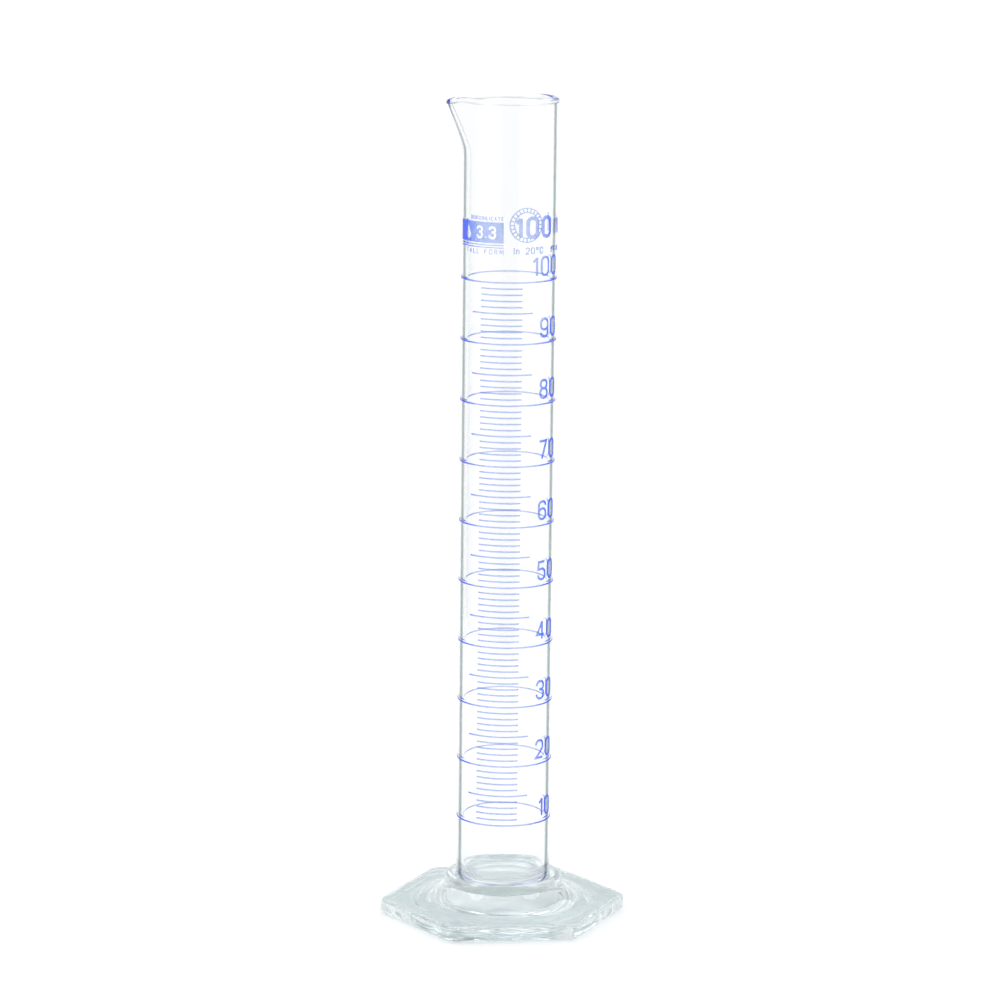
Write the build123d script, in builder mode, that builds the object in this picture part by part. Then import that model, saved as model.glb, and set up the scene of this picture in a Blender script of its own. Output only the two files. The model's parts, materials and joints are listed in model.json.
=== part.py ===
"""Tall-form 100 ml graduated cylinder: glass tube with spout, pressed hexagonal foot and fired enamel print.

The origin is on the table, on the tube's axis. The middle of the scale faces -Y and the spout points to -X.
"""

import os
from math import acos, cos, degrees, pi, radians, sin

from build123d import *

# Tube, millimetres
bore_diameter = 25.8
wall = 1.9
tube_floor = 2.9  # thickness of the closed bottom
floor_corner_radius = 5.0  # inside corner of the closed bottom
base_corner_radius = 4.5  # outside corner of the closed bottom
rim_above_top_mark = 55.9
rim_flare = 0.25  # how much the round of the fire-polished rim is larger than half the wall

# Spout
spout_length = 15.6  # height of the bent stretch of wall below the rim
spout_reach = 5.3  # how far the lip stands out of the tube's side
spout_nose_radius = 3.6  # outside radius of the wall at the nose of the spout

# Foot
across_flats = 68.6
foot_turn = 15.0  # degrees between a corner of the hexagon and +X
plate_thickness = 5.0
plate_corner_radius = 4.5
plate_edge_radius = 1.3
seat_rise = 4.2  # from the top of the plate up to the tube's bottom
rest_land = 6.0  # width of the land that the foot rests on, across a flat
recess_depth = 4.0  # of the dish in the foot's underside, at its middle
recess_step = 1.2  # height of the dish's steep edge
recess_slope = 0.7  # how far that edge leans inwards
collar_clearance = 0.2  # between the tube's side and the collar
collar_radius = 1.9  # rounding of the collar's rim
collar_rise = 3.8  # from the tube's bottom up to the top of the collar
flare_angle = 30.0  # degrees below level at which the flare meets the collar's round

# Scale
capacity = 100
numbered_step = 10
long_mark_step = 5
line_width = 0.45
enamel_thickness = 0.1
short_mark_length = 13.4
long_mark_length = 20.2

# Lettering: heights are cap heights, arcs are lengths round the wall from the scale's middle
numeral_height = 6.3
numeral_stroke = 0.75
numeral_gap = 1.1
numeral_lift = 1.6  # from a ring up to the foot of its number
numeral_right_arc = 21.8
capacity_height = 7.0
capacity_stroke = 1.2
capacity_gap = 1.1
capacity_lift = 13.4  # from the top ring up to the foot of the large capacity
capacity_left_arc = 3.7
note_height = 2.2
note_stroke = 0.32
note_gap = 0.42
note_lift = 8.7
note_left_arc = 3.7
tolerance_left_arc = 17.2
roundel_diameter = 10.8
roundel_arc = 7.9
roundel_lift = 17.7
roundel_line = 0.3
roundel_band = 1.3
roundel_dashes = 24
badge_left_arc = -17.4
badge_width = 18.0
badge_lift = 12.1
badge_height = 6.4
badge_text_height = 4.1
badge_text_stroke = 0.75
badge_text_gap = 0.55
badge_text_left = 8.6  # from the left end of the badge
drop_left = 4.9  # from the left end of the badge to the middle of the drop
drop_radius = 1.35
drop_height = 4.6
badge_note_height = 1.25
badge_note_stroke = 0.2
badge_note_gap = 0.3
badge_note_space = 0.5  # between the block and the small line of text above it, and the rules below it
badge_rule_width = 0.3
badge_rule_pitch = 0.75
badge_form_height = 1.6
badge_form_gap = 0.65

# Blocks that are trimmed to the enamel's skin reach this far into and out of the tube's wall
block_sink = 2.5
block_proud = 1.0

# Worked out from the sizes above
bore_radius = bore_diameter / 2
tube_radius = bore_radius + wall
rim_radius = wall / 2 + rim_flare
seat_height = plate_thickness + seat_rise
floor_height = seat_height + tube_floor
enamel_radius = tube_radius + enamel_thickness
collar_inner_radius = tube_radius + collar_clearance
collar_middle_radius = collar_inner_radius + collar_radius
collar_middle_height = seat_height + collar_rise - collar_radius
flare_end_radius = collar_middle_radius + collar_radius * cos(radians(flare_angle))
flare_end_height = collar_middle_height - collar_radius * sin(radians(flare_angle))
recess_radius = across_flats / 2 - rest_land
rim_path_radius = bore_radius + rim_radius
rim_inset = tube_radius - rim_path_radius
nose_distance = tube_radius + spout_reach - rim_radius - (spout_nose_radius - rim_inset)
spout_side_angle = degrees(acos((tube_radius - spout_nose_radius) / nose_distance))


def liquid_height(volume_ml):
    """Height of the surface of this volume, counting the glass that fills the round inside corner."""
    straight = bore_radius - floor_corner_radius
    corner_area = straight**2 + pi * straight * floor_corner_radius / 2 + 2 * floor_corner_radius**2 / 3
    corner_volume = pi * corner_area * floor_corner_radius
    bore_area = pi * bore_radius**2
    return floor_height + floor_corner_radius + (volume_ml * 1000 - corner_volume) / bore_area


top_mark_height = liquid_height(capacity)
overall_height = top_mark_height + rim_above_top_mark
spout_start_height = overall_height - spout_length
rim_height = overall_height - rim_radius

# Strokes of the letters on a grid one cap height tall: (points, corner radii), closed where the ends meet
ROUND = 0.25
LETTERS = {
    "0": [([(0, 0), (0.56, 0), (0.56, 1), (0, 1), (0, 0)], ROUND)],
    "1": [([(0.04, 0.76), (0.28, 0.96)], 0), ([(0.28, 1), (0.28, 0)], 0)],
    "2": [([(0, 0.72), (0, 1), (0.56, 1), (0.56, 0.56), (0, 0), (0.56, 0)], [ROUND, ROUND, 0.2, 0])],
    "3": [
        ([(0, 0.74), (0, 1), (0.56, 1), (0.56, 0.53), (0.2, 0.53)], [ROUND, ROUND, 0.2]),
        ([(0.2, 0.53), (0.56, 0.53), (0.56, 0), (0, 0), (0, 0.26)], [ROUND, ROUND, ROUND]),
    ],
    "4": [([(0.42, 1), (0, 0.26), (0.6, 0.26)], 0), ([(0.42, 0), (0.42, 1)], 0)],
    "5": [
        (
            [(0.52, 1), (0.06, 1), (0, 0.58), (0.56, 0.62), (0.56, 0), (0, 0), (0, 0.26)],
            [0, 0, ROUND, ROUND, ROUND],
        )
    ],
    "6": [
        ([(0, 0), (0.56, 0), (0.56, 0.6), (0, 0.6), (0, 0)], ROUND),
        ([(0.56, 0.76), (0.56, 1), (0, 1), (0, 0.3)], [0.22, ROUND]),
    ],
    "7": [([(0, 1), (0.56, 1), (0.18, 0)], 0)],
    "8": [
        ([(0, 0), (0.56, 0), (0.56, 0.54), (0, 0.54), (0, 0)], ROUND),
        ([(0.03, 0.54), (0.53, 0.54), (0.53, 1), (0.03, 1), (0.03, 0.54)], 0.22),
    ],
    "9": [
        ([(0, 0.4), (0.56, 0.4), (0.56, 1), (0, 1), (0, 0.4)], ROUND),
        ([(0.56, 0.7), (0.56, 0), (0, 0), (0, 0.24)], [ROUND, 0.22]),
    ],
    "m": [
        ([(0, 0), (0, 0.74)], 0),
        ([(0, 0.7), (0.38, 0.7), (0.38, 0)], 0.17),
        ([(0.38, 0.7), (0.76, 0.7), (0.76, 0)], 0.17),
    ],
    "l": [([(0, 0), (0, 1)], 0)],
    "n": [([(0, 0), (0, 0.74)], 0), ([(0, 0.7), (0.42, 0.7), (0.42, 0)], 0.2)],
    "I": [([(0, 0), (0, 1)], 0)],
    "°": [([(0, 0.66), (0.34, 0.66), (0.34, 1), (0, 1), (0, 0.66)], 0.16)],
    "±": [([(0, 0.62), (0.56, 0.62)], 0), ([(0.28, 0.32), (0.28, 0.92)], 0), ([(0, 0.08), (0.56, 0.08)], 0)],
    ".": [([(0, 0), (0, 0.12)], 0)],
    "A": [([(0, 0), (0.3, 1)], 0), ([(0.6, 0), (0.3, 1)], 0), ([(0.12, 0.34), (0.48, 0.34)], 0)],
    "B": [
        ([(0, 0), (0.54, 0), (0.54, 0.53), (0, 0.53), (0, 0)], [0, ROUND, ROUND, 0]),
        ([(0, 0.53), (0.5, 0.53), (0.5, 1), (0, 1), (0, 0.53)], [0, 0.22, 0.22, 0]),
    ],
    "C": [([(0.58, 0.7), (0.58, 1), (0, 1), (0, 0), (0.58, 0), (0.58, 0.3)], ROUND)],
    "E": [([(0.5, 1), (0, 1), (0, 0), (0.5, 0)], 0), ([(0, 0.52), (0.44, 0.52)], 0)],
    "F": [([(0.5, 1), (0, 1), (0, 0)], 0), ([(0, 0.52), (0.44, 0.52)], 0)],
    "G": [([(0.6, 0.72), (0.6, 1), (0, 1), (0, 0), (0.6, 0), (0.6, 0.46), (0.32, 0.46)], [ROUND] * 4 + [0])],
    "L": [([(0, 1), (0, 0), (0.48, 0)], 0)],
    "M": [
        ([(0, 0), (0, 1)], 0),
        ([(0.02, 1), (0.36, 0.3), (0.7, 1)], 0),
        ([(0.72, 0), (0.72, 1)], 0),
    ],
    "O": [([(0, 0), (0.66, 0), (0.66, 1), (0, 1), (0, 0)], 0.3)],
    "R": [
        ([(0, 0), (0, 1), (0.54, 1), (0.54, 0.5), (0, 0.5)], [0, 0.24, 0.24]),
        ([(0.28, 0.5), (0.58, 0)], 0),
    ],
    "S": [([(0.56, 0.76), (0.56, 1), (0, 1), (0, 0.52), (0.56, 0.52), (0.56, 0), (0, 0), (0, 0.24)], 0.22)],
    "T": [([(0, 1), (0.6, 1)], 0), ([(0.3, 1), (0.3, 0)], 0)],
}
WORD_SPACE = 0.4


def arc_angle(arc):
    """Degrees round the tube's wall for a length of arc along it."""
    return degrees(arc / tube_radius)


def wall_plane(arc, height):
    """Plane facing out of the wall at this arc from the scale's middle, sunk into the tube."""
    facing = Vector(0, -1, 0).rotate(Axis.Z, arc_angle(arc))
    along = Vector(1, 0, 0).rotate(Axis.Z, arc_angle(arc))
    return Plane(facing * (tube_radius - block_sink) + Vector(0, 0, height), x_dir=along, z_dir=facing)


def letter_width(letter):
    """Width of a letter's centre lines on the one-cap-height grid."""
    if letter == " ":
        return WORD_SPACE
    return max(point[0] for points, _ in LETTERS[letter] for point in points)


def text_width(text, height, stroke, gap):
    """Length of a line of text along the wall, from edge to edge."""
    scale = height - stroke
    return sum(letter_width(letter) * scale + stroke + gap for letter in text) - gap


def wrap_text(text, left_arc, foot_height, height, stroke, gap, mode=Mode.ADD):
    """Blocks through the wall, one for each letter, in the part in progress."""
    scale = height - stroke
    arc = left_arc
    for letter in text:
        width = letter_width(letter) * scale + stroke
        if letter != " ":
            shift = letter_width(letter) / 2
            with BuildSketch(wall_plane(arc + width / 2, foot_height)) as face:
                for points, radii in LETTERS[letter]:
                    if isinstance(radii, list):
                        rounding = [radius * scale for radius in radii]
                    else:
                        rounding = radii * scale
                    placed = [((x - shift) * scale, y * scale + stroke / 2) for x, y in points]
                    with BuildLine():
                        if rounding == 0:
                            Polyline(*placed)
                        else:
                            FilletPolyline(*placed, radius=rounding)
                    trace(line_width=stroke)
            extrude(face.sketch, amount=block_sink + block_proud, mode=mode)
        arc += width + gap


def trim_to_enamel():
    """Cut the blocks of the part in progress down to the enamel's thin skin on the tube."""
    with BuildSketch(Plane.XY) as skin:
        Circle(enamel_radius)
        Circle(tube_radius, mode=Mode.SUBTRACT)
    extrude(skin.sketch, amount=overall_height, mode=Mode.INTERSECT)


def curved_strip(centre_arc, length, height, thickness):
    """A strip of enamel along the wall, in the part in progress, with its middle line at this height."""
    start = arc_angle(centre_arc - length / 2) - 90
    with BuildSketch(Plane.XY.offset(height - thickness / 2)) as strip:
        with BuildLine():
            inner = CenterArc((0, 0), tube_radius, start, arc_angle(length))
            outer = CenterArc((0, 0), enamel_radius, start, arc_angle(length))
            Line(inner @ 0, outer @ 0)
            Line(inner @ 1, outer @ 1)
        make_face()
    extrude(strip.sketch, amount=thickness)


def round_section(radius):
    """The mouth's section where the spout starts: a circle in four arcs, which meet the rim's four edges."""
    side_start = 180 - spout_side_angle
    nose_start = 180 - spout_side_angle / 2
    with BuildSketch(Plane.XY.offset(spout_start_height)) as section:
        with BuildLine():
            CenterArc((0, 0), radius, side_start, 2 * spout_side_angle - 360)
            CenterArc((0, 0), radius, side_start, spout_side_angle / 2)
            CenterArc((0, 0), radius, nose_start, spout_side_angle)
            CenterArc((0, 0), radius, nose_start + spout_side_angle, spout_side_angle / 2)
        make_face()
    return section.sketch.face()


def rim_section(radius):
    """The mouth's section at the rim: the same circle drawn out tangentially to the spout's nose."""
    nose_radius = spout_nose_radius - (tube_radius - radius)
    side_start = 180 - spout_side_angle
    with BuildSketch(Plane.XY.offset(rim_height)) as section:
        with BuildLine():
            body = CenterArc((0, 0), radius, side_start, 2 * spout_side_angle - 360)
            nose = CenterArc((-nose_distance, 0), nose_radius, side_start, 2 * spout_side_angle)
            Line(body @ 0, nose @ 0)
            Line(body @ 1, nose @ 1)
        make_face()
    return section.sketch.face()


def finish(piece, name):
    """Name the finished piece and write it."""
    piece.part.label = name
    export_step(piece.part, os.path.join("parts", name + ".step"))


os.makedirs("parts", exist_ok=True)

# Measuring tube: the inside and the outside are turned, the mouth is drawn out, and the rim is rounded
with BuildPart() as tube_inside:
    with BuildSketch(Plane.XZ):
        with Locations((bore_radius / 2, (floor_height + spout_start_height) / 2)):
            Rectangle(bore_radius, spout_start_height - floor_height)
        fillet(vertices().group_by(Axis.Y)[0].sort_by(Axis.X)[-1], floor_corner_radius)
    revolve(axis=Axis.Z)
    loft([round_section(bore_radius), rim_section(bore_radius)], ruled=True)
    extrude(rim_section(bore_radius), amount=2 * rim_radius)

rim_path = rim_section(rim_path_radius).outer_wire()
with BuildPart() as measuring_tube:
    with BuildSketch(Plane.XZ):
        with Locations((tube_radius / 2, (seat_height + spout_start_height) / 2)):
            Rectangle(tube_radius, spout_start_height - seat_height)
        fillet(vertices().group_by(Axis.Y)[0].sort_by(Axis.X)[-1], base_corner_radius)
    revolve(axis=Axis.Z)
    loft([round_section(tube_radius), rim_section(tube_radius)], ruled=True)
    with BuildSketch(Plane(rim_path @ 0, z_dir=rim_path % 0)):
        Circle(rim_radius)
    sweep(path=rim_path)
    add(tube_inside.part, mode=Mode.SUBTRACT)
finish(measuring_tube, "measuring_tube")

# Foot: a pressed hexagonal plate that flares up to a round collar, with a shallow dish in its underside
with BuildPart() as hexagonal_foot:
    with BuildSketch(Plane.XY):
        RegularPolygon(across_flats / 2, 6, major_radius=False, rotation=foot_turn)
        fillet(vertices(), plate_corner_radius)
    extrude(amount=plate_thickness)
    fillet(edges().group_by(Axis.Z)[-1] + edges().group_by(Axis.Z)[0], plate_edge_radius)
    with BuildSketch(Plane.XZ):
        with BuildLine():
            flare_end = (flare_end_radius, flare_end_height)
            flare = TangentArc((recess_radius, plate_thickness), flare_end, tangent=(-1, 0))
            rim_middle = (collar_middle_radius, collar_middle_height)
            rim = CenterArc(rim_middle, collar_radius, -flare_angle, 180 + flare_angle)
            Polyline(
                rim @ 1,
                (collar_inner_radius, seat_height),
                (0, seat_height),
                (0, plate_thickness / 2),
                (recess_radius, plate_thickness / 2),
                flare @ 0,
            )
        make_face()
    revolve(axis=Axis.Z)
    with BuildSketch(Plane.XZ):
        with BuildLine():
            dish = TangentArc((0, recess_depth), (recess_radius - recess_slope, recess_step), tangent=(1, 0))
            Polyline(
                dish @ 1,
                (recess_radius, 0),
                (recess_radius, -plate_edge_radius),
                (0, -plate_edge_radius),
                dish @ 0,
            )
        make_face()
    revolve(axis=Axis.Z, mode=Mode.SUBTRACT)
finish(hexagonal_foot, "hexagonal_foot")

# Seam: melted glass that fills the round corner between the tube's bottom, its seat and the collar
with BuildPart() as fused_seam:
    with BuildSketch(Plane.XY.offset(seat_height)):
        Circle(collar_inner_radius)
        Circle(tube_radius - base_corner_radius, mode=Mode.SUBTRACT)
    extrude(amount=collar_middle_height - seat_height)
    add(measuring_tube.part, mode=Mode.SUBTRACT)
finish(fused_seam, "fused_seam")

# Marks of the scale: a ring at each number, a long mark half way between, a short mark at the others
with BuildPart() as ring_marks:
    for volume in range(numbered_step, capacity + 1, numbered_step):
        with BuildSketch(Plane.XY.offset(liquid_height(volume) - line_width / 2)):
            Circle(enamel_radius)
            Circle(tube_radius, mode=Mode.SUBTRACT)
        extrude(amount=line_width)
finish(ring_marks, "ring_marks")

unnumbered = [volume for volume in range(numbered_step, capacity) if volume % numbered_step]
with BuildPart() as five_ml_marks:
    for volume in unnumbered:
        if volume % long_mark_step == 0:
            curved_strip(0, long_mark_length, liquid_height(volume), line_width)
finish(five_ml_marks, "five_ml_marks")

with BuildPart() as one_ml_marks:
    for volume in unnumbered:
        if volume % long_mark_step:
            curved_strip(0, short_mark_length, liquid_height(volume), line_width)
finish(one_ml_marks, "one_ml_marks")

with BuildPart() as numerals:
    for volume in range(numbered_step, capacity + 1, numbered_step):
        left_arc = numeral_right_arc - text_width(str(volume), numeral_height, numeral_stroke, numeral_gap)
        foot_height = liquid_height(volume) + numeral_lift
        wrap_text(str(volume), left_arc, foot_height, numeral_height, numeral_stroke, numeral_gap)
    trim_to_enamel()
finish(numerals, "numerals")

# Label above the scale
with BuildPart() as capacity_label:
    wrap_text(
        f"{capacity} ml",
        capacity_left_arc,
        top_mark_height + capacity_lift,
        capacity_height,
        capacity_stroke,
        capacity_gap,
    )
    trim_to_enamel()
finish(capacity_label, "capacity_label")

with BuildPart() as temperature_label:
    wrap_text("In 20°C", note_left_arc, top_mark_height + note_lift, note_height, note_stroke, note_gap)
    trim_to_enamel()
finish(temperature_label, "temperature_label")

with BuildPart() as tolerance_label:
    wrap_text("±1 ml", tolerance_left_arc, top_mark_height + note_lift, note_height, note_stroke, note_gap)
    trim_to_enamel()
finish(tolerance_label, "tolerance_label")

# Roundel: two thin circles with a ring of dashes between them, broken where the capacity crosses it
roundel_radius = roundel_diameter / 2
with BuildPart() as calibration_roundel:
    with BuildSketch(wall_plane(roundel_arc, top_mark_height + roundel_lift)):
        Circle(roundel_radius)
        Circle(roundel_radius - roundel_line, mode=Mode.SUBTRACT)
        Circle(roundel_radius - roundel_band)
        Circle(roundel_radius - roundel_band - roundel_line, mode=Mode.SUBTRACT)
        with PolarLocations(roundel_radius - roundel_band / 2, roundel_dashes):
            Rectangle(roundel_band, roundel_line)
    extrude(amount=block_sink + block_proud)
    trim_to_enamel()
    add(capacity_label.part, mode=Mode.SUBTRACT)
finish(calibration_roundel, "calibration_roundel")

# Badge: a solid block with a drop and the type of glass left out of it, between small lines of text
badge_foot = top_mark_height + badge_lift
badge_top = badge_foot + badge_height
badge_middle_arc = badge_left_arc + badge_width / 2
badge_middle_height = badge_foot + badge_height / 2
rule_height = badge_foot - badge_note_space - badge_rule_width / 2
form_foot = rule_height - badge_rule_pitch - badge_note_space - badge_form_height
note_left = badge_left_arc + badge_width - text_width(
    "BOROSILICATE", badge_note_height, badge_note_stroke, badge_note_gap
)
form_left = badge_left_arc + badge_width - text_width(
    "TALL FORM", badge_form_height, badge_note_stroke, badge_form_gap
)
with BuildPart() as glass_badge:
    wrap_text(
        "BOROSILICATE",
        note_left,
        badge_top + badge_note_space,
        badge_note_height,
        badge_note_stroke,
        badge_note_gap,
    )
    wrap_text("TALL FORM", form_left, form_foot, badge_form_height, badge_note_stroke, badge_form_gap)
    trim_to_enamel()
    curved_strip(badge_middle_arc, badge_width, badge_middle_height, badge_height)
    curved_strip(badge_middle_arc, badge_width, rule_height, badge_rule_width)
    curved_strip(badge_middle_arc, badge_width, rule_height - badge_rule_pitch, badge_rule_width)
    text_foot = badge_middle_height - badge_text_height / 2
    wrap_text(
        "3.3",
        badge_left_arc + badge_text_left,
        text_foot,
        badge_text_height,
        badge_text_stroke,
        badge_text_gap,
        mode=Mode.SUBTRACT,
    )
    with BuildSketch(wall_plane(badge_left_arc + drop_left, badge_middle_height - drop_height / 2)):
        with Locations((0, drop_radius)):
            Circle(drop_radius)
        with BuildLine():
            Polyline((-drop_radius, drop_radius), (drop_radius, drop_radius), (0, drop_height), close=True)
        make_face()
    extrude(amount=block_sink + block_proud, mode=Mode.SUBTRACT)
finish(glass_badge, "glass_badge")
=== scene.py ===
"""Looks of a tall-form 100 ml graduated cylinder: clear tube, pressed hexagonal foot, blue enamel print."""

import json
import math

import bmesh
import bpy
import numpy as np
from mathutils import Matrix, Vector, noise


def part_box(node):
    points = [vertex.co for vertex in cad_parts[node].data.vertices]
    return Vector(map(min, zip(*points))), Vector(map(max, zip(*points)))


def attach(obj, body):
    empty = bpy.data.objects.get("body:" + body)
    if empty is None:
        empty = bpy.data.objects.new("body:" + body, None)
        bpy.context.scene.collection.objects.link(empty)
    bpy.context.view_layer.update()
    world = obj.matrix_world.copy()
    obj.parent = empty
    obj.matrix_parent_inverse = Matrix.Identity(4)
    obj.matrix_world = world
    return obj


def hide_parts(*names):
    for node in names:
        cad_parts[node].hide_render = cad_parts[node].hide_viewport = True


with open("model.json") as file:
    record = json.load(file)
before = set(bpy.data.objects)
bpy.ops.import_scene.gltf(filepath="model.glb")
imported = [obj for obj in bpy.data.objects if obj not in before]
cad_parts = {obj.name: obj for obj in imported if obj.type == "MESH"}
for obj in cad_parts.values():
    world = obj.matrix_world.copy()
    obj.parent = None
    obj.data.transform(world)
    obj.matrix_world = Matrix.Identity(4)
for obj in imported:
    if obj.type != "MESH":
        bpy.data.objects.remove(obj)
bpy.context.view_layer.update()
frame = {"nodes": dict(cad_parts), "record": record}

MM = 0.001
scene = bpy.context.scene

# ---------------------------------------------------------------- sizes in millimetres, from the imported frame


def node_box(name):
    """Lowest and highest corner of a CAD node in millimetres."""
    low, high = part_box(name)
    return np.array(low) / MM, np.array(high) / MM


mounts = {mount["name"]: mount for mount in frame["record"]["mounts"]}
tube_low, tube_high = node_box("measuring_tube")

# Tube
ENAMEL = 0.1
BORE_R = mounts["tube_bore"]["dims"]["r_mm"]
TUBE_R = node_box("ring_marks")[1][0] - ENAMEL
WALL = TUBE_R - BORE_R
SEAT_Z = tube_low[2]  # underside of the tube, where it stands on the foot
TOP_Z = tube_high[2]
FLOOR_Z = SEAT_Z + 2.9
BASE_CORNER = 4.5
FLOOR_CORNER = 5.0
RIM_R = 1.2
RIM_Z = TOP_Z - RIM_R
SPOUT_LENGTH = 15.6
SPOUT_Z = TOP_Z - SPOUT_LENGTH
SPOUT_REACH = -tube_low[0] - TUBE_R
NOSE_R = 3.6
BEND_RUN = 8.0  # how far below the spout the wall starts to bend
LIP_DROP = 1.1

# Foot
FLATS = 68.6 / 2
FOOT_TURN = math.radians(15.0)
CORNER_R = 4.5
PLATE_Z = 5.0
EDGE_R = 1.3
LAND_R = FLATS - 6.0
DISH_Z = 4.0
DISH_STEP = 1.2
DISH_LEAN = 0.7
COLLAR_IN = TUBE_R + 0.2
COLLAR_R = 1.9
COLLAR_MID_R = COLLAR_IN + COLLAR_R
COLLAR_MID_Z = SEAT_Z + 3.8 - COLLAR_R
FLARE_TURN = 30.0  # degrees below level at which the collar's round runs into the flare

# Joint and print
GAP = 0.01  # between the faces of two pieces where they are joined
SEAM_SAG = 0.22
SUNK_Z = 190.0  # the print above this height is sunk a little into the wall
SUNK = -0.02
RAISED = 0.012

# ---------------------------------------------------------------- outlines, as radius against direction


def directions():
    """Directions round the axis, closer together at the foot's corners and at the spout."""
    wanted = [math.radians(1.5 * i) for i in range(240)]
    for k in range(6):
        wanted += [FOOT_TURN + math.radians(60 * k + 0.5 * i) for i in range(-10, 11)]
    wanted += [math.pi + math.radians(0.75 * i) for i in range(-24, 25)]
    wanted = sorted(round(a % (2 * math.pi), 5) for a in wanted)
    kept = [wanted[0]]
    for a in wanted[1:]:
        if a - kept[-1] > math.radians(0.3):
            kept.append(a)
    return np.array(kept)


ANGLES = directions()
FROM_SPOUT = np.abs(ANGLES - math.pi)


def mouth_outline(radius, nose, distance):
    """A circle drawn out to a round nose at this distance from the axis, as a radius in each direction."""
    if distance - (radius - nose) < 1e-6:
        return np.full(len(ANGLES), radius)
    side = math.acos((radius - nose) / distance)
    nose_end = math.atan2(nose * math.sin(side), distance + nose * math.cos(side))
    phi = FROM_SPOUT
    round_part = np.full(len(phi), radius)
    flat_part = radius / np.cos(np.clip(phi - side, -1.4, 1.4))
    under = np.clip(nose**2 - (distance * np.sin(phi)) ** 2, 0, None)
    nose_part = distance * np.cos(phi) + np.sqrt(under)
    return np.where(phi >= side, round_part, np.where(phi <= nose_end, nose_part, flat_part))


def hexagon(inset):
    """The foot's rounded hexagon, brought in by this much."""
    sixth = math.radians(60)
    flat = FLATS - inset
    corner = CORNER_R - inset
    centre = (FLATS - CORNER_R) / math.cos(sixth / 2)
    phi = np.abs((ANGLES - FOOT_TURN + sixth / 2) % sixth - sixth / 2)
    turn = math.atan2(corner / 2, centre + corner * math.cos(sixth / 2))
    side_part = flat / np.cos(sixth / 2 - phi)
    under = np.clip(corner**2 - (centre * np.sin(phi)) ** 2, 0, None)
    corner_part = centre * np.cos(phi) + np.sqrt(under)
    return np.where(phi > turn, side_part, corner_part)


def arc(middle_r, middle_z, radius, start, end, steps):
    """Points (r, z) round an arc, angles in degrees from outwards, both ends included."""
    turns = np.radians(np.linspace(start, end, steps))
    return [(middle_r + radius * math.cos(t), middle_z + radius * math.sin(t)) for t in turns]


def between(a, b, share):
    """The value this share of the way from a to b."""
    return a * (1 - share) + b * share


def smooth(x):
    """0 below 0, 1 above 1, and a smooth step between them."""
    x = min(max(x, 0.0), 1.0)
    return x * x * (3 - 2 * x)


# ---------------------------------------------------------------- meshes


class Outline:
    """Rows of (radius, height) round the axis, and the material slot of each strip between two rows.

    A radius or height is one number, or one for each direction. A row with radius 0 is a single point.
    """

    def __init__(self, radius, height):
        self.rows = [(radius, height)]
        self.slots = []

    def to(self, rows, slot=0):
        """Carry the outline on through these rows, with this slot on the strips that lead to them."""
        self.rows += rows
        self.slots += [slot] * len(rows)


def build(name, outline, materials, closed=False):
    """A watertight piece from an outline, which runs from axis to axis or is closed into a ring."""
    points = []
    row_index = []
    for radius, height in outline.rows:
        if np.isscalar(radius) and radius == 0:
            row_index.append([len(points)])
            points.append((0.0, 0.0, float(np.mean(height))))
            continue
        r = np.broadcast_to(radius, ANGLES.shape)
        z = np.broadcast_to(height, ANGLES.shape)
        row_index.append(list(range(len(points), len(points) + len(ANGLES))))
        points += list(zip(r * np.cos(ANGLES), r * np.sin(ANGLES), z))
    strips = list(zip(row_index, row_index[1:], outline.slots))
    if closed:
        strips.append((row_index[-1], row_index[0], 0))
    faces = []
    face_slots = []
    count = len(ANGLES)
    for a, b, slot in strips:
        for i in range(count):
            j = (i + 1) % count
            if len(a) == 1:
                faces.append((a[0], b[j], b[i]))
            elif len(b) == 1:
                faces.append((a[i], a[j], b[0]))
            else:
                faces.append((a[i], a[j], b[j], b[i]))
            face_slots.append(slot)
    mesh = bpy.data.meshes.new(name)
    mesh.from_pydata([(x * MM, y * MM, z * MM) for x, y, z in points], [], faces)
    for material in materials:
        mesh.materials.append(material)
    mesh.polygons.foreach_set("material_index", face_slots)
    mesh.shade_smooth()
    mesh.set_sharp_from_angle(angle=math.radians(40))
    mesh.update()
    piece = bpy.data.objects.new(name, mesh)
    scene.collection.objects.link(piece)
    return piece


def cut_round_wall(work):
    """Cut a print's mesh through the axis every 1.5 degrees. A plane cuts a whole ring on both sides."""
    turns = [math.atan2(v.co.y, v.co.x) for v in work.verts]
    whole = max(turns) - min(turns) > math.pi * 1.5
    low, high = (0.0, math.pi) if whole else (min(turns), max(turns))
    steps = int((high - low) / math.radians(1.5)) + 1
    for k in range(0 if whole else 1, steps):
        turn = low + k * (high - low) / steps
        geometry = work.verts[:] + work.edges[:] + work.faces[:]
        normal = (-math.sin(turn), math.cos(turn), 0)
        bmesh.ops.bisect_plane(work, geom=geometry, dist=1e-7, plane_co=(0, 0, 0), plane_no=normal)


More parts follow.
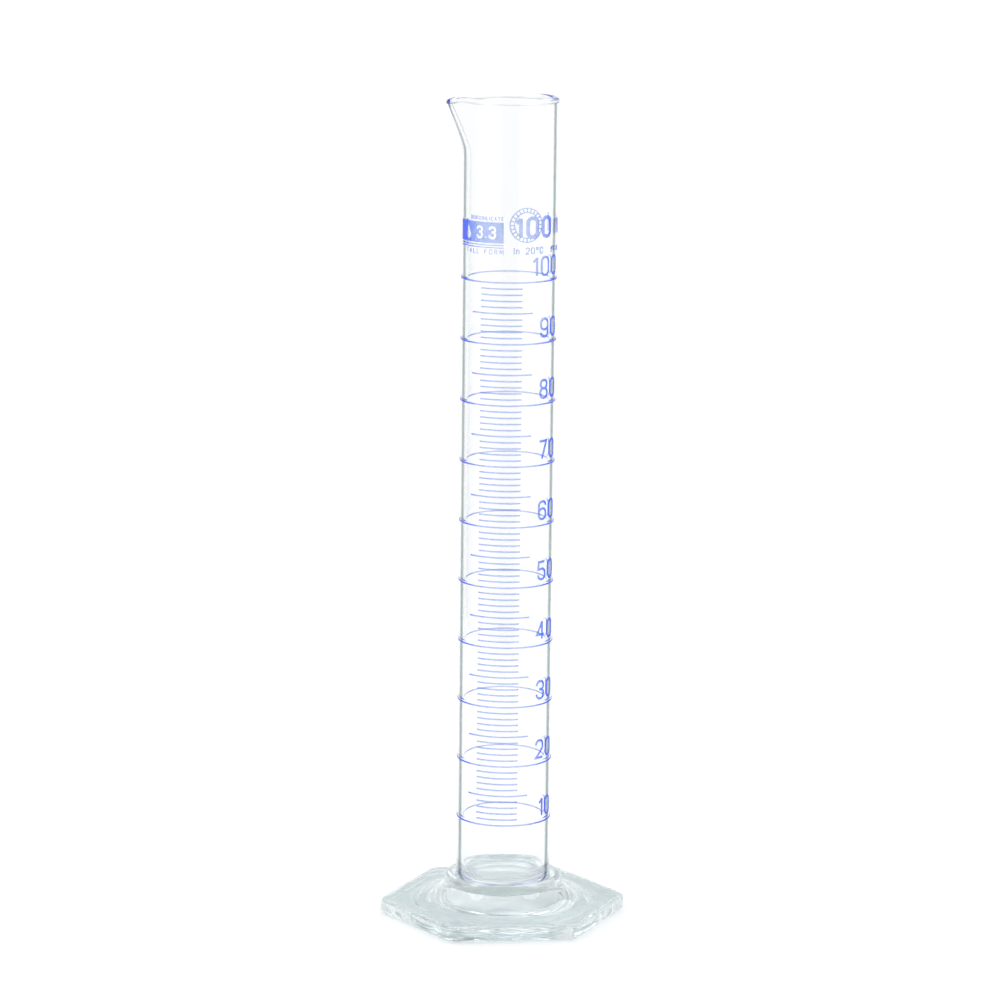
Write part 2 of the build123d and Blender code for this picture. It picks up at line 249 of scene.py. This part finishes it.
def enamel_copy(name, material):
    """The CAD node's print laid on the visible tube: cut finely round the wall and set to the wall's radius.

    Below SUNK_Z it lies a hair off the glass, so light that runs up inside the wall stays clear.
    """
    work = bmesh.new()
    work.from_mesh(frame["nodes"][name].data)
    bmesh.ops.remove_doubles(work, verts=work.verts, dist=1e-7)
    cut_round_wall(work)
    half_sag = 0.008  # about half of what the CAD mesh's flat facets sag inside its radius
    middle = (TUBE_R + ENAMEL / 2 - half_sag) * MM
    for v in work.verts:
        r = math.hypot(v.co.x, v.co.y)
        inner = TUBE_R + (RAISED if v.co.z < SUNK_Z * MM else SUNK)
        wanted = (inner + (ENAMEL if r > middle else 0.0)) * MM
        v.co.x *= wanted / r
        v.co.y *= wanted / r
    mesh = bpy.data.meshes.new(name + "_print")
    work.to_mesh(mesh)
    work.free()
    mesh.materials.clear()
    mesh.materials.append(material)
    mesh.shade_smooth()
    mesh.set_sharp_from_angle(angle=math.radians(30))
    piece = bpy.data.objects.new(name + "_print", mesh)
    scene.collection.objects.link(piece)
    return piece


# ---------------------------------------------------------------- materials


class Nodes:
    """A short way to add and join shader nodes."""

    def __init__(self, tree):
        self.tree = tree
        tree.nodes.clear()

    def add(self, kind, **values):
        node = self.tree.nodes.new(kind)
        for key, value in values.items():
            setattr(node, key, value)
        return node

    def join(self, output, socket):
        self.tree.links.new(output, socket)

    def math(self, operation, a, b, clamp=False):
        node = self.add("ShaderNodeMath", operation=operation, use_clamp=clamp)
        for socket, value in zip(node.inputs, (a, b)):
            if isinstance(value, (int, float)):
                socket.default_value = value
            else:
                self.join(value, socket)
        return node.outputs[0]

    def ramp(self, factor, stops, interpolation="EASE"):
        node = self.add("ShaderNodeValToRGB")
        node.color_ramp.interpolation = interpolation
        elements = node.color_ramp.elements
        while len(elements) < len(stops):
            elements.new(0.5)
        for element, (place, colour) in zip(elements, stops):
            element.position = place
            element.color = (*colour, 1)
        self.join(factor, node.inputs[0])
        return node.outputs[0]

    def noise(self, scale):
        place = self.add("ShaderNodeTexCoord")
        node = self.add("ShaderNodeTexNoise")
        node.inputs["Scale"].default_value = scale
        node.inputs["Detail"].default_value = 2.0
        self.join(place.outputs["Object"], node.inputs["Vector"])
        return node.outputs["Fac"]

    def facing(self):
        """0 where a surface is seen face on, 1 where it is seen along."""
        node = self.add("ShaderNodeLayerWeight")
        node.inputs["Blend"].default_value = 0.5
        return node.outputs["Facing"]

    def roughen(self, shader, scale, height, strength):
        """Give the shader a fine unevenness of this height in millimetres."""
        bump = self.add("ShaderNodeBump")
        bump.inputs["Strength"].default_value = strength
        bump.inputs["Distance"].default_value = height * MM
        self.join(self.noise(scale), bump.inputs["Height"])
        self.join(bump.outputs["Normal"], shader.inputs["Normal"])


def principled(name):
    """A new material with one Principled shader, as (material, nodes, shader)."""
    material = bpy.data.materials.new(name)
    material.use_nodes = True
    nodes = Nodes(material.node_tree)
    shader = nodes.add("ShaderNodeBsdfPrincipled")
    output = nodes.add("ShaderNodeOutputMaterial")
    nodes.join(shader.outputs[0], output.inputs["Surface"])
    return material, nodes, shader


GLASS_IOR = 1.473


def glass(name, tint_and_shade_stops, roughness=0.0, ripple=0.0):
    """Clear glass. The stops darken it by how steeply it is seen: the glass's own tint, and on the tube wall
    also a painted shade line at its edges; ripple is its unevenness in mm.
    """
    material, nodes, shader = principled(name)
    shader.inputs["Transmission Weight"].default_value = 1.0
    shader.inputs["Roughness"].default_value = roughness
    shader.inputs["IOR"].default_value = GLASS_IOR
    nodes.join(nodes.ramp(nodes.facing(), tint_and_shade_stops, "LINEAR"), shader.inputs["Base Color"])
    if ripple:
        nodes.roughen(shader, 300.0, ripple, 1.0)
    return material


def enamel(name):
    """Thin fired enamel: light comes through it face on, and it is a full blue when seen along the wall."""
    material, nodes, shader = principled(name)
    shader.inputs["Roughness"].default_value = 0.35
    shader.inputs["IOR"].default_value = 1.5
    facing = nodes.facing()
    blues = [(0.0, (0.006, 0.26, 0.92)), (0.45, (0.005, 0.12, 0.88)), (0.7, (0.004, 0.03, 0.80))]
    nodes.join(nodes.ramp(facing, blues, "LINEAR"), shader.inputs["Base Color"])
    covers = [(0.0, (0.30,) * 3), (0.25, (0.38,) * 3), (0.5, (0.80,) * 3), (0.7, (1, 1, 1))]
    cover = nodes.ramp(facing, covers, "LINEAR")
    patches = nodes.math("MULTIPLY", nodes.math("SUBTRACT", nodes.noise(1500.0), 0.5), 0.14)
    nodes.join(nodes.math("ADD", cover, patches, clamp=True), shader.inputs["Alpha"])
    nodes.roughen(shader, 2600.0, 0.02, 0.4)
    return material


# Painted shade: the dark line inside each edge of the tube is painted into the wall glass's colour, on the band
# of the outer wall seen at about 0.655. The other stops are the glass's own faint tint, deeper where it is seen
# along.
WALL_TINT_AND_PAINTED_EDGE_SHADE = [
    (0.0, (0.99, 0.99, 0.995)),
    (0.46, (0.97, 0.975, 0.985)),
    (0.55, (0.84, 0.87, 0.885)),
    (0.605, (0.14, 0.20, 0.20)),
    (0.655, (0.05, 0.085, 0.08)),
    (0.71, (0.14, 0.20, 0.20)),
    (0.77, (0.84, 0.88, 0.88)),
    (0.88, (0.96, 0.975, 0.975)),
    (1.0, (0.80, 0.86, 0.86)),
]
CLEAR_TINT = [(0.0, (0.995, 0.998, 0.998)), (0.7, (0.985, 0.99, 0.995)), (1.0, (0.93, 0.95, 0.96))]
RIM_TINT = [(0.0, (0.99, 0.99, 0.995)), (0.55, (0.97, 0.975, 0.985)), (1.0, (0.66, 0.74, 0.90))]
FOOT_TINT = [(0.0, (0.86, 0.895, 0.90)), (0.55, (0.83, 0.88, 0.885)), (1.0, (0.66, 0.77, 0.80))]
JOINT_TINT = [(0.0, (0.94, 0.96, 0.955)), (1.0, (0.84, 0.89, 0.88))]

# The tube's wall glass carries the painted shade line inside each edge of the tube.
tube_glass = glass("tube_glass_wall", WALL_TINT_AND_PAINTED_EDGE_SHADE)
bore_glass = glass("tube_glass_bore", CLEAR_TINT)
rim_glass = glass("tube_glass_rim", RIM_TINT)
foot_glass = glass("foot_glass_pressed", FOOT_TINT, ripple=0.01)
joint_glass = glass("joint_glass", JOINT_TINT, roughness=0.28)
blue = enamel("blue_enamel_fired")

# ---------------------------------------------------------------- measuring tube

WALL_FACE, BORE_FACE, RIM_FACE, JOINT_FACE = range(4)
ROW_STEP = 6.0

corner_r = TUBE_R - BASE_CORNER
corner_z = SEAT_Z + BASE_CORNER
# where the seam's top meets the tube's round corner, in degrees below level
seam_turn = math.degrees(math.asin((BASE_CORNER - (COLLAR_MID_Z - SEAT_Z)) / BASE_CORNER))
straight_top = SPOUT_Z - BEND_RUN
wall_heights = [*np.arange(corner_z + ROW_STEP, straight_top, ROW_STEP), straight_top]
mouth_heights = list(np.linspace(straight_top, RIM_Z, 42)[1:])


def mouth_radius(height, inset):
    """The mouth's outline at this height, brought in from the outside by this much."""
    s = (height - SPOUT_Z) / (RIM_Z - SPOUT_Z)
    ease = 0.10
    lift = (s + math.sqrt(s * s + ease * ease)) / 2
    at_top = (1 + math.sqrt(1 + ease * ease)) / 2
    share = lift / at_top * smooth((s + 0.35) / 0.5)
    nose = NOSE_R + (TUBE_R - NOSE_R) * (1 - share)
    reach_out = (SPOUT_REACH - RIM_R + WALL / 2) * share
    distance = TUBE_R + reach_out - nose
    return mouth_outline(TUBE_R - inset, max(nose - inset, 0.4), distance)


def lip_drop(share):
    """How far the lip dips at the nose of the spout, against the direction."""
    return share * LIP_DROP * np.exp(-((np.degrees(FROM_SPOUT) / 16.0) ** 2))


def mouth_rows(heights, inset):
    """Rows of the bend and the spout, on the outside or brought in from it by this much."""
    rows = []
    for z in heights:
        s = (z - straight_top) / (RIM_Z - straight_top)
        rows.append((mouth_radius(z, inset), z - lip_drop(s**3)))
    return rows


def rim_rows():
    """Rows round the rim, from its outside over the top to its inside."""
    outside, inside = mouth_radius(RIM_Z, 0.0), mouth_radius(RIM_Z, WALL)
    rows = []
    for turn in np.radians(np.linspace(-25, 205, 22)):
        across = math.cos(turn) * RIM_R / (WALL / 2)
        radius = (outside + inside) / 2 + (outside - inside) / 2 * across
        rows.append((radius, RIM_Z + RIM_R * math.sin(turn) - lip_drop(1.0)))
    return rows


bottom = SEAT_Z + GAP
tube_outline = Outline(0, bottom)
tube_outline.to([(BASE_CORNER, bottom), (corner_r, bottom)], JOINT_FACE)
tube_outline.to(arc(corner_r, corner_z, BASE_CORNER, -90, -seam_turn, 9)[1:], JOINT_FACE)
tube_outline.to(arc(corner_r, corner_z, BASE_CORNER, -seam_turn, 0, 8)[1:], WALL_FACE)
tube_outline.to([(TUBE_R, z) for z in wall_heights], WALL_FACE)
tube_outline.to(mouth_rows(mouth_heights, 0.0), WALL_FACE)
tube_outline.to(rim_rows(), RIM_FACE)
tube_outline.to(mouth_rows(mouth_heights[-2::-1], WALL), BORE_FACE)
tube_outline.to([(BORE_R, z) for z in wall_heights[::-1] if z > FLOOR_Z + FLOOR_CORNER + 1], BORE_FACE)
tube_outline.to(arc(BORE_R - FLOOR_CORNER, FLOOR_Z + FLOOR_CORNER, FLOOR_CORNER, 0, -90, 14), BORE_FACE)
tube_outline.to([(4.0, FLOOR_Z), (0, FLOOR_Z)], BORE_FACE)
tube = build("glass_tube", tube_outline, [tube_glass, bore_glass, rim_glass, joint_glass])

# ---------------------------------------------------------------- seam

seam_top = COLLAR_MID_Z
seam_foot = SEAT_Z + GAP / 2
seam_out = COLLAR_IN - GAP
contact = arc(corner_r, corner_z, BASE_CORNER + GAP, -90, -seam_turn, 9)
seam_in = contact[-1][0]

seam_outline = Outline(corner_r, seam_foot)
seam_outline.to([(seam_out, seam_foot), (seam_out, seam_top)])
for share in (0.75, 0.5, 0.25):
    sag = SEAM_SAG * math.sin(math.pi * share)
    seam_outline.to([(between(seam_in, seam_out, share), seam_top - sag)])
seam_outline.to([(seam_in, seam_top)])
seam_outline.to(contact[-2:0:-1])
seam = build("glass_seam", seam_outline, [joint_glass], closed=True)

# ---------------------------------------------------------------- foot


def flare(steps):
    """Points from the plate up to the collar, on an arc that is level where it leaves the plate."""
    lean = math.radians(FLARE_TURN)
    run = LAND_R - (COLLAR_MID_R + COLLAR_R * math.cos(lean))
    rise = COLLAR_MID_Z - COLLAR_R * math.sin(lean) - PLATE_Z
    radius = (run**2 + rise**2) / (2 * rise)
    turns = np.linspace(0, math.atan2(run, radius - rise), steps)
    return [(LAND_R - radius * math.sin(t), PLATE_Z + radius * (1 - math.cos(t))) for t in turns]


def edge_rows(middle_z, start, end):
    """Rows of the plate's rounded edge between two angles in degrees from outwards."""
    turns = np.radians(np.linspace(start, end, 8))
    return [(hexagon(EDGE_R * (1 - math.cos(t))), middle_z + EDGE_R * math.sin(t)) for t in turns]


def dish_rows(edge_r):
    """Rows of the shallow dish from near its edge to near its middle."""
    sag = DISH_Z - DISH_STEP
    radius = (edge_r**2 + sag**2) / (2 * sag)
    return [(r, DISH_Z - radius + math.sqrt(radius**2 - r * r)) for r in np.linspace(edge_r - 0.3, 0.6, 22)]


edge_in = hexagon(EDGE_R)
dish_edge_r = LAND_R - DISH_LEAN

foot_outline = Outline(0, SEAT_Z)
foot_outline.to([(corner_r, SEAT_Z), (COLLAR_IN, SEAT_Z), (COLLAR_IN, COLLAR_MID_Z)], 1)
foot_outline.to(arc(COLLAR_MID_R, COLLAR_MID_Z, COLLAR_R, 180, -FLARE_TURN, 22)[1:])
foot_outline.to(flare(16)[-2::-1])
foot_outline.to([(between(LAND_R, edge_in, share), PLATE_Z) for share in (0.2, 0.45, 0.7, 0.9, 1.0)])
foot_outline.to(edge_rows(PLATE_Z - EDGE_R, 90, 0)[1:])
foot_outline.to([(hexagon(0.0), PLATE_Z / 2)])
foot_outline.to(edge_rows(EDGE_R, 0, -90))
foot_outline.to([(between(LAND_R, edge_in, share), 0.0) for share in (0.7, 0.35)])
foot_outline.to([(LAND_R + 0.3, 0.0), (LAND_R - 0.05, 0.12), (LAND_R - 0.3, 0.5)])
foot_outline.to([(dish_edge_r + 0.12, DISH_STEP - 0.18)])
foot_outline.to(dish_rows(dish_edge_r))
foot_outline.to([(0, DISH_Z)])
foot = build("glass_foot", foot_outline, [foot_glass, joint_glass])


def wave(x, y, z, height, length):
    """A smooth random wave of this height and length in millimetres."""
    return height * noise.noise(Vector((x, y, z)) / length)


def press_waves(piece):
    """The slow unevenness that a mould and fire polishing leave in pressed glass, away from the joint."""
    for v in piece.data.vertices:
        x, y, z = v.co / MM
        r = math.hypot(x, y)
        weight = smooth((r - COLLAR_IN - 1.0) / 4.0) if z > PLATE_Z - 0.5 else 1.0
        weight *= smooth((z - 0.05) / 0.6)
        lift = wave(x, y, z * 0.6, 0.10, 11.0) + wave(x + 40, y, z, 0.04, 5.0)
        out = wave(x, y + 90, z, 0.12, 14.0) + wave(x, y + 30, z * 1.5, 0.20, 2.6)
        scale = 1 + out * smooth((r - LAND_R) / 4.0) / max(r, 1.0)
        v.co.x *= scale
        v.co.y *= scale
        v.co.z += lift * weight * MM
    piece.data.update()


press_waves(foot)

for piece, node in ((tube, "measuring_tube"), (seam, "fused_seam"), (foot, "hexagonal_foot")):
    shell = bmesh.new()
    shell.from_mesh(piece.data)
    bmesh.ops.recalc_face_normals(shell, faces=shell.faces)
    shell.to_mesh(piece.data)
    shell.free()
    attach(piece, "root")
    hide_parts(node)
    piece.visible_shadow = False

# ---------------------------------------------------------------- enamel print

PRINTED = [
    "ring_marks", "five_ml_marks", "one_ml_marks", "numerals", "capacity_label",
    "temperature_label", "tolerance_label", "calibration_roundel", "glass_badge",
]
for node in PRINTED:
    piece = enamel_copy(node, blue)
    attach(piece, "root")
    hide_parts(node)

# ---------------------------------------------------------------- studio, in metres

VIEW_TURN = 9.14  # degrees round from the front at which the camera stands


def plain(name, colour):
    """A plain matt surface with the faintest mottling."""
    material, nodes, shader = principled(name)
    shader.inputs["Roughness"].default_value = 0.9
    shader.inputs["Specular IOR Level"].default_value = 0.0
    darker = tuple(c * 0.995 for c in colour)
    nodes.join(nodes.ramp(nodes.noise(3.0), [(0.3, darker), (0.7, colour)]), shader.inputs["Base Color"])
    return material


bpy.ops.mesh.primitive_circle_add(vertices=96, radius=14.0, fill_type="NGON", location=(0, 0, -0.0003))
floor = bpy.context.object
floor.name = "floor"
floor.data.materials.append(plain("pale_floor", (0.93, 0.93, 0.93)))


def card(name, azimuth, away, width, height, colour):
    """A standing card that only the glass sees, this far from the tube and facing it."""
    half = width / 2
    corners = [(-half, 0, 0), (half, 0, 0), (half, 0, height), (-half, 0, height)]
    mesh = bpy.data.meshes.new(name)
    mesh.from_pydata(corners, [], [(0, 1, 2, 3)])
    mesh.materials.append(plain(name + "_paper", colour))
    board = bpy.data.objects.new(name, mesh)
    scene.collection.objects.link(board)
    facing = math.radians(azimuth)
    board.location = (away * math.sin(facing), -away * math.cos(facing), 0.0)
    board.rotation_euler = (0, 0, facing)
    board.visible_camera = False
    board.visible_diffuse = False
    board.visible_shadow = False


card("front_flag", VIEW_TURN - 5.0, 0.34, 0.36, 0.7, (0.25, 0.26, 0.28))
card("left_flag", VIEW_TURN - 104.0, 0.42, 0.32, 0.7, (0.36, 0.38, 0.40))

# The glass sees a tent that greys towards its top, with three softboxes. All else sees plain white.
TENT = [
    (0.0, (0.97, 0.98, 0.98)),
    (0.58, (0.99, 0.995, 1.0)),
    (0.66, (0.66, 0.72, 0.73)),
    (0.82, (0.50, 0.55, 0.57)),
    (1.0, (0.60, 0.66, 0.68)),
]
SOFTBOXES = [  # direction, spread in degrees, brightness
    ((-0.75, -0.35, 0.75), 18, 2.2),
    ((0.8, -0.15, 0.7), 15, 1.8),
    ((0.1, 0.8, 0.8), 16, 1.4),
]
SOFTBOX_EDGE = 3  # degrees over which a softbox fades

world = bpy.data.worlds.new("studio")
scene.world = world
world.use_nodes = True
sky = Nodes(world.node_tree)
path = sky.add("ShaderNodeLightPath")
place = sky.add("ShaderNodeTexCoord")
split = sky.add("ShaderNodeSeparateXYZ")
sky.join(place.outputs["Generated"], split.inputs[0])
up = sky.math("ADD", sky.math("MULTIPLY", split.outputs["Z"], 0.5), 0.5)
tent = sky.ramp(up, TENT)


def softbox(direction, spread):
    """A mask that is 1 within spread degrees of a direction and fades out past it."""
    dot = sky.add("ShaderNodeVectorMath", operation="DOT_PRODUCT")
    sky.join(place.outputs["Generated"], dot.inputs[0])
    dot.inputs[1].default_value = Vector(direction).normalized()
    fade = sky.add("ShaderNodeMapRange", interpolation_type="SMOOTHSTEP")
    sky.join(dot.outputs["Value"], fade.inputs["Value"])
    fade.inputs["From Min"].default_value = math.cos(math.radians(spread + SOFTBOX_EDGE))
    fade.inputs["From Max"].default_value = math.cos(math.radians(spread))
    return fade.outputs["Result"]


def background(strength):
    """A background shader with this strength."""
    shader = sky.add("ShaderNodeBackground")
    shader.inputs["Strength"].default_value = strength
    return shader


glow = 0.0
for direction, spread, brightness in SOFTBOXES:
    glow = sky.math("ADD", glow, sky.math("MULTIPLY", softbox(direction, spread), brightness))
light = sky.add("ShaderNodeVectorMath", operation="SCALE")
light.inputs[0].default_value = (1.0, 1.0, 1.0)
sky.join(glow, light.inputs["Scale"])
total = sky.add("ShaderNodeVectorMath", operation="ADD")
sky.join(tent, total.inputs[0])
sky.join(light.outputs[0], total.inputs[1])
seen = background(1.0)
sky.join(total.outputs[0], seen.inputs["Color"])
white = background(1.10)
white.inputs["Color"].default_value = (1.0, 1.0, 1.0, 1)
even = sky.math("MAXIMUM", path.outputs["Is Camera Ray"], path.outputs["Is Diffuse Ray"])
mixed = sky.add("ShaderNodeMixShader")
sky.join(even, mixed.inputs[0])
sky.join(seen.outputs[0], mixed.inputs[1])
sky.join(white.outputs[0], mixed.inputs[2])
world_output = sky.add("ShaderNodeOutputWorld")
sky.join(mixed.outputs[0], world_output.inputs["Surface"])

scene.view_settings.view_transform = "Standard"
scene.view_settings.look = "None"
scene.cycles.max_bounces = 128
scene.cycles.transmission_bounces = 128
scene.cycles.transparent_max_bounces = 64
scene.cycles.glossy_bounces = 128
scene.cycles.volume_bounces = 0
scene.cycles.caustics_refractive = True
scene.cycles.caustics_reflective = True

# ---------------------------------------------------------------- camera, in metres

DISTANCE = 1.1996
HEIGHT = 0.36395
PITCH = math.radians(10.87)
YAW = math.radians(-0.099)
ROLL = math.radians(0.585)

turn = Matrix.Rotation(math.radians(VIEW_TURN), 3, "Z")
right = turn @ Vector((math.cos(YAW), -math.sin(YAW), 0))
ahead = turn @ Vector((math.sin(YAW), math.cos(YAW), 0))
forward = ahead * math.cos(PITCH) - Vector((0, 0, math.sin(PITCH)))
upward = ahead * math.sin(PITCH) + Vector((0, 0, math.cos(PITCH)))
side = right * math.cos(ROLL) + upward * math.sin(ROLL)
top = upward * math.cos(ROLL) - right * math.sin(ROLL)
camera_data = bpy.data.cameras.new("camera")
camera_data.lens = 140.26
camera_data.sensor_width = 36.0
camera_data.clip_end = 100.0
camera = bpy.data.objects.new("camera", camera_data)
scene.collection.objects.link(camera)
basis = Matrix((side, top, -forward)).transposed().to_4x4()
basis.translation = turn @ Vector((0, -DISTANCE, HEIGHT))
camera.matrix_world = basis
scene.camera = camera
